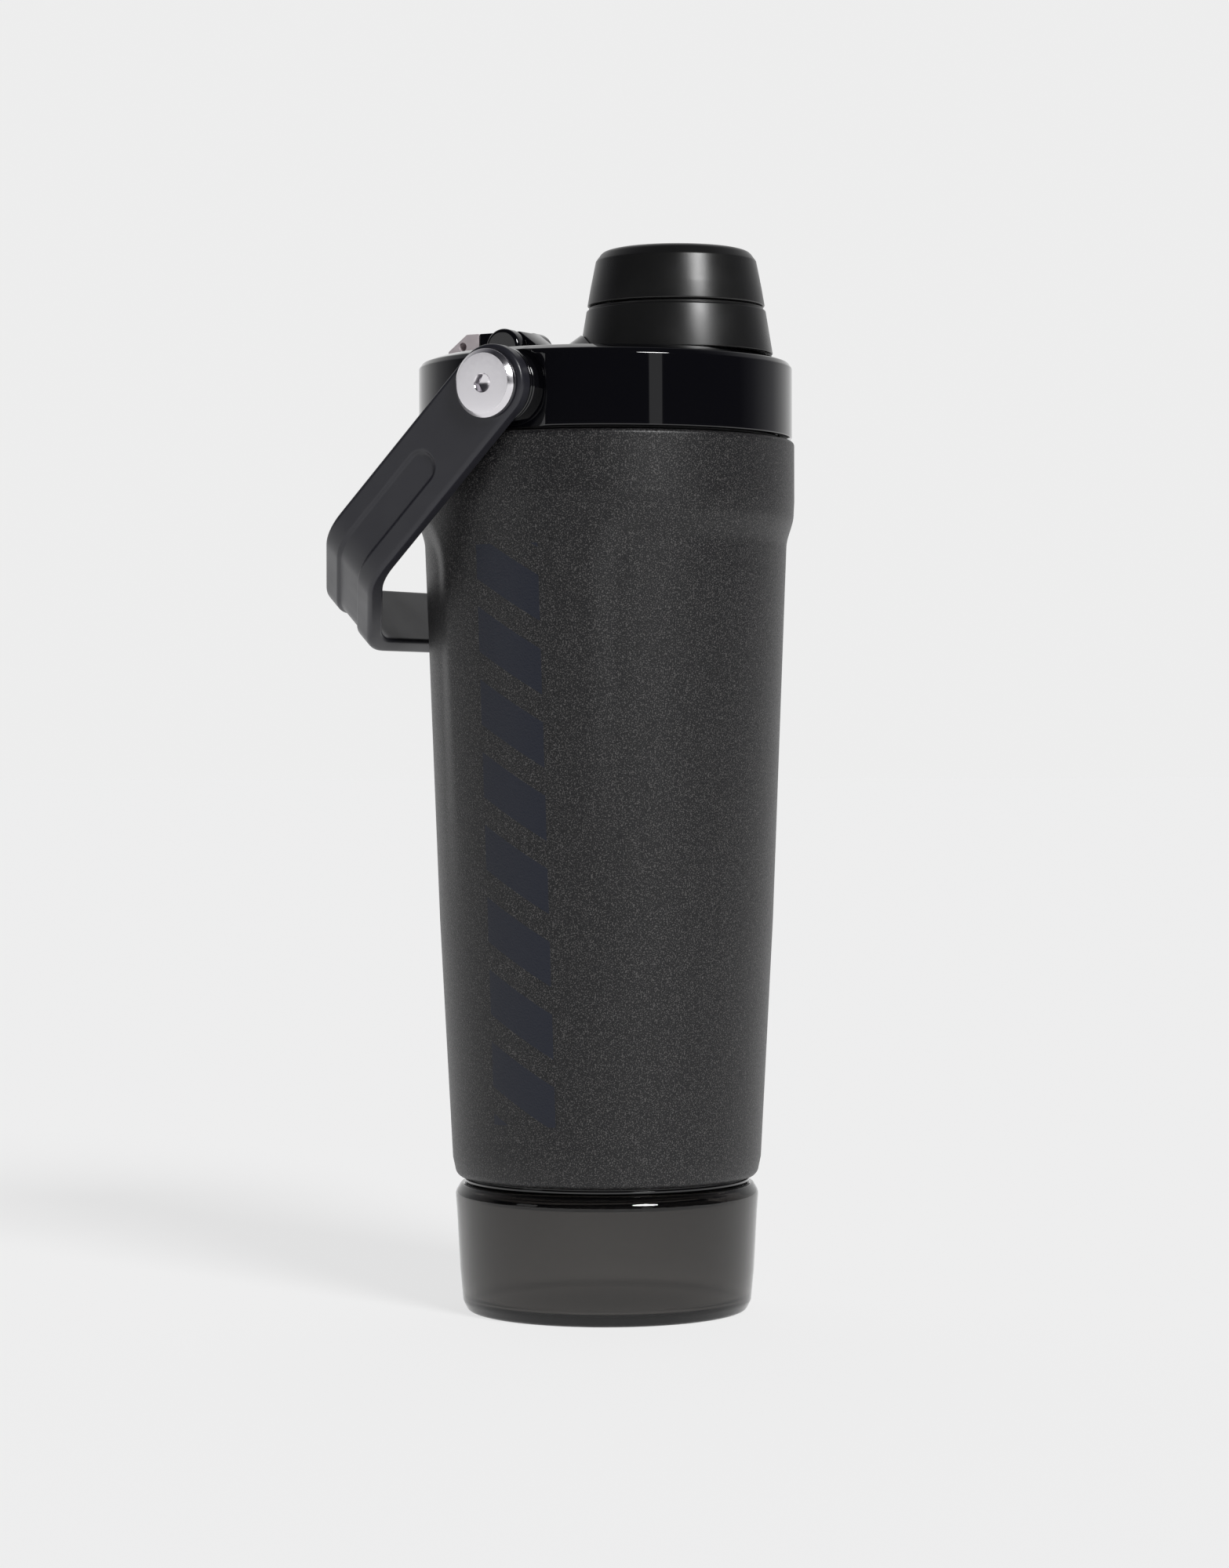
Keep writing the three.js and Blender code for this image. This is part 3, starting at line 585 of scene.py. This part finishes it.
def lid_cover():
    """Deck and bevelled side in one, with a hole for the spout and a stepped one for the vent plug."""
    bottom, under, inner, outer = low("lid_collar").z, COVER["under"], COVER["inner"], COVER["outer"]
    profile = filleted([(0, under), (40.1, under, 1), (inner, 224.6, 1), (inner, bottom, 0.3),
                        (outer, bottom, 0.35), (outer, 226.7, 0.7), (44.2, 227.9, 1.0),
                        (41.1, DECK_Z, 1.6), (0, DECK_Z)], False, 7)
    cover = revolve("lid_cover", profile, SMOOTHEST, reshape=flatten_sides)
    below, above = 220, 235
    spout_hole = [(0, below), (SPOUT_HOLE_R, below), (SPOUT_HOLE_R, above), (0, above)]
    radius, mouth, step = VENT_HOLE["radius"], VENT_HOLE["mouth"], VENT_HOLE["step"]
    vent_hole = [(0, below), (radius, below), (radius, step), (mouth, step), (mouth, above), (0, above)]
    return combine(cover, "DIFFERENCE", revolve("hole", spout_hole, FINE, (SPOUT_X, 0)),
                   revolve("hole", vent_hole, COARSE, (VENT_HOLE["x"], 0)))


def sink_front(verts):
    """Lets the skirt fade away towards the front, where the spout stands at the deck's edge."""
    x, y, z = verts.T
    rear = smoothstep((-x / np.hypot(x, y) - 0.3) / 0.5)
    sunk = DECK_Z - DECK_SINK
    return np.stack([x, y, np.where(z > DECK_Z, sunk + (z - sunk) * rear, z)], axis=-1)


def spout_skirt():
    """The concave skirt that leads from the deck up to the back of the spout."""
    base = DECK_Z - 0.3
    profile = filleted([(23.45, base), (34.0, base), (34.0, 229.02), (28.4, 229.8, 14),
                        (22.95, 233.8, 0.1), (22.75, 233.6)], True, 5)
    skirt = revolve("spout_skirt", profile, ROUND, (SPOUT_X, 0), sink_front)
    below, above, deck = 228, 240, COVER["deck"]
    deck_edge = revolve("trim", [(0, below), (deck, below), (deck, above), (0, above)], SMOOTHEST)
    return combine(skirt, "INTERSECT", deck_edge)


def pivot_boss(side):
    """Round boss on one flat of the lid, where the handle's screw goes in."""
    inner, face, radius = BOSS["inner"], BOSS["face"], BOSS["radius"]
    profile = filleted([(BORE_R, inner), (radius, inner), (radius, face, 0.5), (BORE_R, face, 0.2)])
    boss = revolve("boss", profile, FINE)
    boss.name = f"boss_{'left' if side < 0 else 'right'}"
    return lay_along_y(boss, side, PIVOT_Z)


def spout_shroud():
    """Cone round the spout, with a raised seat inside the cap's edge."""
    bottom, top = low("spout_shroud").z, high("spout_shroud").z
    seat_r, seat = 20.8, top + 0.6
    profile = filleted([(21.5, bottom, 0.2), (23.1, bottom, 0.25), (21.35, top, 0.5), (seat_r, top, 0.2),
                        (seat_r, seat, 0.15), (SPOUT_HOLE_R, seat, 0.3), (SPOUT_HOLE_R, top - 1.6),
                        (19.7, top - 1.6, 0.5)])
    return revolve("spout_cone", profile, ROUND, (SPOUT_X, 0))


def cap_shell():
    """Screw cap: a tapering side, a turned-in shoulder and a slightly crowned top."""
    bottom, top = low("cap_shell").z, high("cap_shell").z
    outside = [(0, top), (15.5, top - 0.12, 6), (17.6, 253.6, 2.4), (19.15, 251.5, 0.9), (20.45, 245, 12),
               (21.2, bottom, 0.35)]
    inside = [(19.4, bottom, 0.15), (17.7, 251.7, 0.4), (17.2, top - 1.6, 0.8), (0, top - 1.2)]
    return revolve("cap_wall", filleted(outside + inside, False, 6), ROUND, (SPOUT_X, 0))


def lid_core():
    """Inner moulding: threaded plug, gasket flange and the drinking neck with its rolled lip."""
    plug_bottom, plug_bore, neck_top = 197, 36.5, high("lid_core").z
    rim, under, top = FLANGE["radius"], FLANGE["bottom"], FLANGE["top"]
    bore, outer = NECK["bore"], NECK["outer"]
    profile = filleted([(plug_bore, plug_bottom, 0.5), (PLUG_R, plug_bottom, 0.6), (PLUG_R, under),
                        (rim, under, 0.3), (rim, top, 0.3), (0, top), (0, under), (plug_bore, under, 1.5)])
    plug = revolve("lid_plug", profile)
    foot = under + 0.1
    tube = filleted([(bore, foot), (outer, foot), (outer, neck_top, 0.9), (bore, neck_top, 0.9)])
    neck = revolve("neck", tube, FINE, (SPOUT_X, 0))
    drink_hole = revolve("bore", [(0, 205), (bore, 205), (bore, 260), (0, 260)], FINE, (SPOUT_X, 0))
    combine(plug, "DIFFERENCE", drink_hole)
    ridges = [screw_ridge(PLUG_R, 1.2, LID_THREAD),
              screw_ridge(outer, 1.0, CAP_THREAD, (SPOUT_X, 0))]
    return combine(plug, "UNION", neck, *ridges)


def seal_ring(name, node, inner):
    """A soft ring with rounded edges, filling its CAD node's box down to its inner radius."""
    lowest, highest = low(node), high(node)
    outer = (highest.x - lowest.x) / 2
    profile = filleted([(inner, lowest.z, 0.3), (outer, lowest.z, 0.5), (outer, highest.z, 0.5),
                        (inner, highest.z, 0.3)])
    return revolve(name, profile)


# ---- Handle ----
def strap_path():
    """Half the outer face's route from one arm's tip to the middle, as (out to the side, along)."""
    corner_1 = (HANDLE["outer"], HANDLE["arm_end"], HANDLE["bend"])
    corner_2 = (HANDLE["bar_end"], HANDLE["reach"], HANDLE["bend"])
    route = filleted([(HANDLE["outer"], -HANDLE["half_width"]), corner_1, corner_2, (0, HANDLE["reach"])],
                     False, 2)
    return np.array(route)


def strap_point(route, length):
    """Places and outward normals on the route, at lengths from the tip of the arm."""
    steps = np.hypot(*np.diff(route, axis=0).T)
    run = np.concatenate([[0], np.cumsum(steps)])
    length = np.clip(length, 0, run[-1])
    i = np.clip(np.searchsorted(run, length, side="right") - 1, 0, len(steps) - 1)
    share = ((length - run[i]) / steps[i])[:, None]
    place = route[i] * (1 - share) + route[i + 1] * share
    tangents = np.gradient(route, axis=0)
    tangents /= np.linalg.norm(tangents, axis=1)[:, None]
    tangent = tangents[i] * (1 - share) + tangents[i + 1] * share
    tangent /= np.linalg.norm(tangent, axis=1)[:, None]
    return place, np.stack([tangent[:, 1], -tangent[:, 0]], axis=-1)


def strap_rows(total):
    """Lengths from one arm's tip to the middle: close together at the tip and the dimple's end."""
    half_width = HANDLE["half_width"]
    tip = half_width * (1 - np.cos(np.linspace(0, math.pi / 2, 26)))
    dimple = half_width + DIMPLE["start"]
    return np.concatenate([tip, np.linspace(half_width + 1, dimple - 1, 22),
                           np.linspace(dimple - 0.75, dimple + 5, 30),
                           np.linspace(dimple + 5.8, total, 90)])


def strap_columns():
    """Places across the strap as shares of its half width, crowded at its edges and the dimple's rim."""
    half_width = HANDLE["half_width"]
    rim = half_width - np.array([0, 0.02, 0.08, 0.18, 0.32, 0.5, 0.72, 1.0])
    field = np.concatenate([np.linspace(8.0, 5.2, 5), np.linspace(4.8, 2.9, 13), np.linspace(2.3, 0.3, 4)])
    half = np.concatenate([rim, field]) / half_width
    return np.concatenate([half, [0], -half[::-1]])


def strap_faces(row_count, column_count):
    """Faces of the strap's outer sheet, its inner sheet and the edges between the two."""
    offset = row_count * column_count
    faces = []
    for i in range(row_count - 1):
        for j in range(column_count - 1):
            a, b = i * column_count + j, (i + 1) * column_count + j
            faces.append((a, a + 1, b + 1, b))
            faces.append((offset + a, offset + b, offset + b + 1, offset + a + 1))
        for j in (0, column_count - 1):
            a, b = i * column_count + j, (i + 1) * column_count + j
            faces.append((a, b, offset + b, offset + a))
    for i in (0, row_count - 1):
        for j in range(column_count - 1):
            a = i * column_count + j
            faces.append((a, a + 1, offset + a + 1, offset + a))
    return faces


def carry_handle():
    """A strap of round-edged section with a long sunken dimple, bent round two sloped corners."""
    half_width, thick, edge = HANDLE["half_width"], HANDLE["thick"], HANDLE["edge"]
    route = strap_path()
    total = np.hypot(*np.diff(route, axis=0).T).sum()
    rows = strap_rows(total)
    place, normal = strap_point(route, rows)
    past = np.maximum(half_width - rows, 0)
    reach = np.sqrt(np.maximum(half_width**2 - past**2, 0))
    across = reach[:, None] * strap_columns()[None, :]
    from_rim = half_width - np.hypot(past[:, None], across)
    near = np.clip(edge - from_rim, 0, edge)
    rounding = edge - np.sqrt(edge**2 - near**2)
    start = half_width + DIMPLE["start"] + DIMPLE["half_width"]
    before = np.maximum(start - rows, 0)
    in_dimple = DIMPLE["half_width"] - np.hypot(before[:, None], across)
    sunk = DIMPLE["depth"] * smoothstep(in_dimple / DIMPLE["edge"])
    droop = math.radians(HANDLE["droop"])
    away = np.array([-math.cos(droop), 0, -math.sin(droop)])
    over = np.array([math.sin(droop), 0, -math.cos(droop)])

    def layer(height, mirror):
        """One half of a face of the strap, hanging from the pivot at its droop."""
        flat = place[:, None, :] + normal[:, None, :] * height[..., None]
        y = flat[..., 0] * mirror
        points = y[..., None] * np.array([0, 1, 0]) + flat[..., 1, None] * away + across[..., None] * over
        return points + np.array([0, 0, PIVOT_Z])

    def sheet(height):
        """Both halves of a face, from the left arm's tip to the right one's."""
        left = layer(height, -1)
        right = layer(height, 1)[-2::-1]
        return np.concatenate([left, right])

    outer, inner = sheet(-rounding - sunk), sheet(-thick + rounding)
    verts = np.concatenate([outer.reshape(-1, 3), inner.reshape(-1, 3)])
    strap = make_object("strap", verts, strap_faces(*outer.shape[:2]), 40)
    through = 60
    eye = revolve("eye", [(0, -through), (BORE_R, -through), (BORE_R, through), (0, through)], COARSE)
    return combine(strap, "DIFFERENCE", lay_along_y(eye, 1, PIVOT_Z))


# ---- Pivot hardware ----
def pivot_screw(side):
    """Flat head with a turned chamfer, a hex socket with a lead-in and a drilled end, and a plain shank."""
    face, seat, tip = high("pivot_screw_right").y, HANDLE["outer"] + GAP, SCREW["tip"]
    head_r, face_r, shank_r = SCREW["head_r"], SCREW["face_r"], SCREW["shank_r"]
    profile = filleted([(0, tip), (shank_r, tip, 0.4), (shank_r, seat), (head_r, seat, 0.15),
                        (head_r, face - 1.0, 0.25), (face_r, face, 0.12), (0, face)], False)
    head = revolve("screw", profile, FINE)
    corner = SCREW["socket_flats"] / math.cos(math.pi / 6) / 2
    socket = revolve("socket", [(0, face - 3.4), (corner, face - 2.2), (corner, face + 1), (0, face + 1)], 6)
    lead_in = revolve("lead_in", [(0, face - 0.5), (corner - 0.55, face - 0.5),
                                  (corner + 0.25, face + 0.3), (0, face + 0.3)], COARSE)
    combine(head, "DIFFERENCE", socket, lead_in)
    head.name = f"screw_{'left' if side < 0 else 'right'}"
    return lay_along_y(head, side, PIVOT_Z)


def pivot_washer(side):
    """Glossy ring that fills the room between the lid's boss and the handle."""
    inner, outer = BOSS["face"] + GAP, HANDLE["outer"] - HANDLE["thick"] - GAP
    profile = filleted([(BORE_R, inner, 0.1), (WASHER_R, inner, 0.35), (WASHER_R, outer, 0.35),
                        (BORE_R, outer, 0.1)])
    washer = revolve("ring", profile, FINE)
    washer.name = f"ring_{'left' if side < 0 else 'right'}"
    return lay_along_y(washer, side, PIVOT_Z)


# ---- Vent lever ----
def lever_bar(name, outline):
    """A length of the lever's arm from its outline seen from the side."""
    return extrude(name, filleted(outline), -LEVER["half_width"], LEVER["half_width"], LEVER["edge"])


def vent_lever():
    """The dark part of the arm: its nose towards the spout, and a heel over the pivot."""
    top, bottom = LEVER["top"], LEVER["bottom"]
    split = high("lever_tip").x + GAP
    nose = [(-22.5, 230.6, 0.5), (-17, 232.4, 0.3), (-17, 233.5, 0.5), (-21.8, top, 0.8)]
    heel = [(-27.5, bottom, 0.4), (LEVER["x"], 229.3, 1.5)]
    return lever_bar("lever_arm", nose + [(split, top), (split, bottom)] + heel)


def lever_tip():
    """The lighter outer end of the arm, with a round eye through it."""
    top, bottom = LEVER["top"], LEVER["bottom"]
    split = high("lever_tip").x
    end = [(-37.2, top, 0.8), (-42.6, 233, 0.6), (-42.6, 230.4, 0.3), (-42.0, bottom, 0.2)]
    tip = lever_bar("lever_window", [(split, top)] + end + [(split, bottom)])
    eye_x, eye_z, eye_r = -38.3, 234, 1.1
    rim = [(eye_x + eye_r * math.cos(a), eye_z + eye_r * math.sin(a)) for a in circle(40)]
    return combine(tip, "DIFFERENCE", extrude("eye", rim, -10, 10))


def lever_knuckle(side):
    """A barrel with a flat end, faired down to the deck."""
    inner, outer, radius = KNUCKLE["inner"], KNUCKLE["outer"], KNUCKLE["radius"]
    outline = [(0, inner), (radius, inner, 0.3), (radius, outer, KNUCKLE["edge"]), (0, outer)]
    profile = filleted(outline, False)
    barrel = revolve("barrel", profile, KNUCKLE["segments"])
    lay_along_y(barrel, side, LEVER["z"])
    barrel.data.transform(Matrix.Translation((LEVER["x"] * MM, 0, 0)))
    foot = DECK_Z - DECK_SINK
    half = radius - 0.3
    left, right = LEVER["x"] - half, LEVER["x"] + half
    stand = extrude("stand", [(left, foot), (right, foot), (right, LEVER["z"]), (left, LEVER["z"])],
                    *sorted((side * inner, side * (outer - 1.0))))
    knuckle = combine(barrel, "UNION", stand)
    trim = extrude("trim", [(-40, foot), (0, foot), (0, 245), (-40, 245)], -20, 20)
    combine(knuckle, "INTERSECT", trim)
    knuckle.name = f"knuckle_{'left' if side < 0 else 'right'}"
    return knuckle


# ---- Stage ----
BACKGROUND = 0.85  # radiance of the floor and of the studio behind the bottle
FLOOR_GLOW = 0.718  # with the lights, this brings the floor to the background's tone
FLOOR_REACH = 60000
# How bright the studio is, by how nearly a direction points straight behind the bottle.
WORLD_STOPS = [(0.0, (0.03, 0.03, 0.035)), (0.2, (0.09, 0.09, 0.10)), (0.57, (0.30, 0.30, 0.31)),
               (0.8, (0.60, 0.60, 0.60)), (0.97, (0.80, 0.80, 0.80)), (1.0, (0.85, 0.85, 0.85))]
AIM = Vector((0, 0, 0.13))  # middle of the bottle, in metres


def studio_floor():
    """A pale floor that runs to the horizon, partly self-lit so that its tone stays even."""
    corners = [(-FLOOR_REACH, -FLOOR_REACH, 0), (FLOOR_REACH, -FLOOR_REACH, 0),
               (FLOOR_REACH, FLOOR_REACH, 0), (-FLOOR_REACH, FLOOR_REACH, 0)]
    floor = make_object("floor", corners, [(0, 1, 2, 3)])
    material, node = shader("studio_floor", (0.25, 0.25, 0.25), 0.9, Specular_IOR_Level=0.0)
    node.inputs["Emission Color"].default_value = (1, 1, 1, 1)
    node.inputs["Emission Strength"].default_value = FLOOR_GLOW
    floor.data.materials.append(material)


def heading(azimuth, elevation):
    """Unit vector away from the bottle: azimuth 0 looks out over -Y, as for the camera."""
    a, e = math.radians(azimuth), math.radians(elevation)
    return Vector((math.sin(a) * math.cos(e), -math.cos(a) * math.cos(e), math.sin(e)))


def studio_world():
    """White behind the bottle, darker to the sides and dim in front, and seen directly as plain white."""
    world = bpy.data.worlds.new("studio")
    bpy.context.scene.world = world
    world.use_nodes = True
    tree = world.node_tree
    new, link = tree.nodes.new, tree.links.new
    shown = tree.nodes["Background"]
    shown.inputs["Color"].default_value = (BACKGROUND, BACKGROUND, BACKGROUND, 1)
    direction = new("ShaderNodeTexCoord")
    toward = new("ShaderNodeVectorMath")
    toward.operation = "DOT_PRODUCT"
    toward.inputs[1].default_value = -heading(CAMERA["azimuth"], 0)
    link(direction.outputs["Generated"], toward.inputs[0])
    ramp = new("ShaderNodeValToRGB")
    link(toward.outputs["Value"], ramp.inputs["Fac"])
    elements = ramp.color_ramp.elements
    while len(elements) < len(WORLD_STOPS):
        elements.new(0.5)
    for element, (place, color) in zip(elements, WORLD_STOPS):
        element.position = place
        element.color = (*color, 1)
    lighting = new("ShaderNodeBackground")
    link(ramp.outputs["Color"], lighting.inputs["Color"])
    path = new("ShaderNodeLightPath")
    mix = new("ShaderNodeMixShader")
    link(path.outputs["Is Camera Ray"], mix.inputs["Fac"])
    link(lighting.outputs["Background"], mix.inputs[1])
    link(shown.outputs["Background"], mix.inputs[2])
    link(mix.outputs["Shader"], tree.nodes["World Output"].inputs["Surface"])


def sun(name, azimuth, elevation, width, strength):
    """A distant light whose disc is as wide as the angle given."""
    data = bpy.data.lights.new(name, "SUN")
    data.angle = math.radians(width)
    data.energy = strength
    light = bpy.data.objects.new(name, data)
    bpy.context.collection.objects.link(light)
    light.rotation_euler = heading(azimuth, elevation).to_track_quat("Z", "Y").to_euler()


def area_light(name, azimuth, elevation, distance, size, power):
    """A softbox placed round the bottle and turned to it."""
    data = bpy.data.lights.new(name, "AREA")
    data.shape = "RECTANGLE"
    data.size, data.size_y = size
    data.energy = power
    light = bpy.data.objects.new(name, data)
    bpy.context.collection.objects.link(light)
    away = heading(azimuth, elevation)
    light.location = AIM + away * distance
    light.rotation_euler = away.to_track_quat("Z", "Y").to_euler()


def make_lights():
    studio_world()
    sun("key", CAMERA["azimuth"] + 32, 34, 18, 2.2)
    area_light("strip", CAMERA["azimuth"] + 30, 8, 1.3, (0.18, 0.9), 0.21)
    area_light("face_card", -CAMERA["azimuth"], 7, 1.0, (0.3, 0.3), 0.2)


# ---- Build ----
bpy.context.scene.view_settings.view_transform = "Standard"
make_camera()
studio_floor()
make_lights()

fit(outer_shell(), "vessel", MATERIALS["powder"], "powder_coat", "outer_shell")
fit(inner_liner(), "vessel", MATERIALS["steel"], "liner_steel", "inner_liner")
fit(storage_ring(), "vessel", MATERIALS["gloss"], "black_plastic", "storage_ring")
fit(base_plate(), "vessel", MATERIALS["steel"], "liner_steel", "base_plate")
fit(storage_cup(), "storage_cup", MATERIALS["smoked_cup"], "smoked_cup", "storage_cup")
cup_seal = seal_ring("cup_seal_ring", "storage_seal", RING_R + GAP)
fit(cup_seal, "storage_seal", MATERIALS["silicone"], "silicone", "storage_seal")
lid_seal = seal_ring("lid_seal_ring", "lid_gasket", PLUG_R + GAP)
fit(lid_seal, "lid_gasket", MATERIALS["silicone"], "silicone", "lid_gasket")

fit(lid_cover(), "lid", MATERIALS["smoked_lid"], "smoked_lid", "lid_collar")
fit(spout_skirt(), "lid", MATERIALS["smoked_lid"], "smoked_lid")
fit(spout_shroud(), "lid", MATERIALS["cap"], "cap_plastic", "spout_shroud")
fit(lid_core(), "lid", MATERIALS["black"], "black_plastic", "lid_core")
fit(cap_shell(), "spout_cap", MATERIALS["cap"], "cap_plastic", "cap_shell")
fit(carry_handle(), "carry_handle", MATERIALS["strap"], "handle_plastic", "carry_handle")
for side, label in ((-1, "left"), (1, "right")):
    fit(pivot_boss(side), "lid", MATERIALS["gloss"], "smoked_lid")
    fit(pivot_screw(side), "lid", MATERIALS["screw"], "screw_steel", f"pivot_screw_{label}")
    fit(pivot_washer(side), "lid", MATERIALS["gloss"], "gloss_ring", f"pivot_washer_{label}")
    fit(lever_knuckle(side), "lid", MATERIALS["smoked_lid"], "smoked_lid")
fit(vent_lever(), "vent_lever", MATERIALS["smoked_lid"], "smoked_lid", "vent_lever")
fit(lever_tip(), "vent_lever", MATERIALS["window"], "smoked_window", "lever_tip")

# CAD nodes that stay keep their shape and take a finished material.
KEPT = {
    "mixing_grid": "black", "cap_liner": "black", "cap_seal": "silicone", "vacuum_plug": "steel",
    "lever_pin": "screw", "vent_plug": "silicone",
    "pivot_bush_left": "black", "pivot_bush_right": "black",
    "thread_insert_left": "brass", "thread_insert_right": "brass",
}
for node_name, key in KEPT.items():
    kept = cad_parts[node_name]
    kept.data.materials.clear()
    kept.data.materials.append(MATERIALS[key])
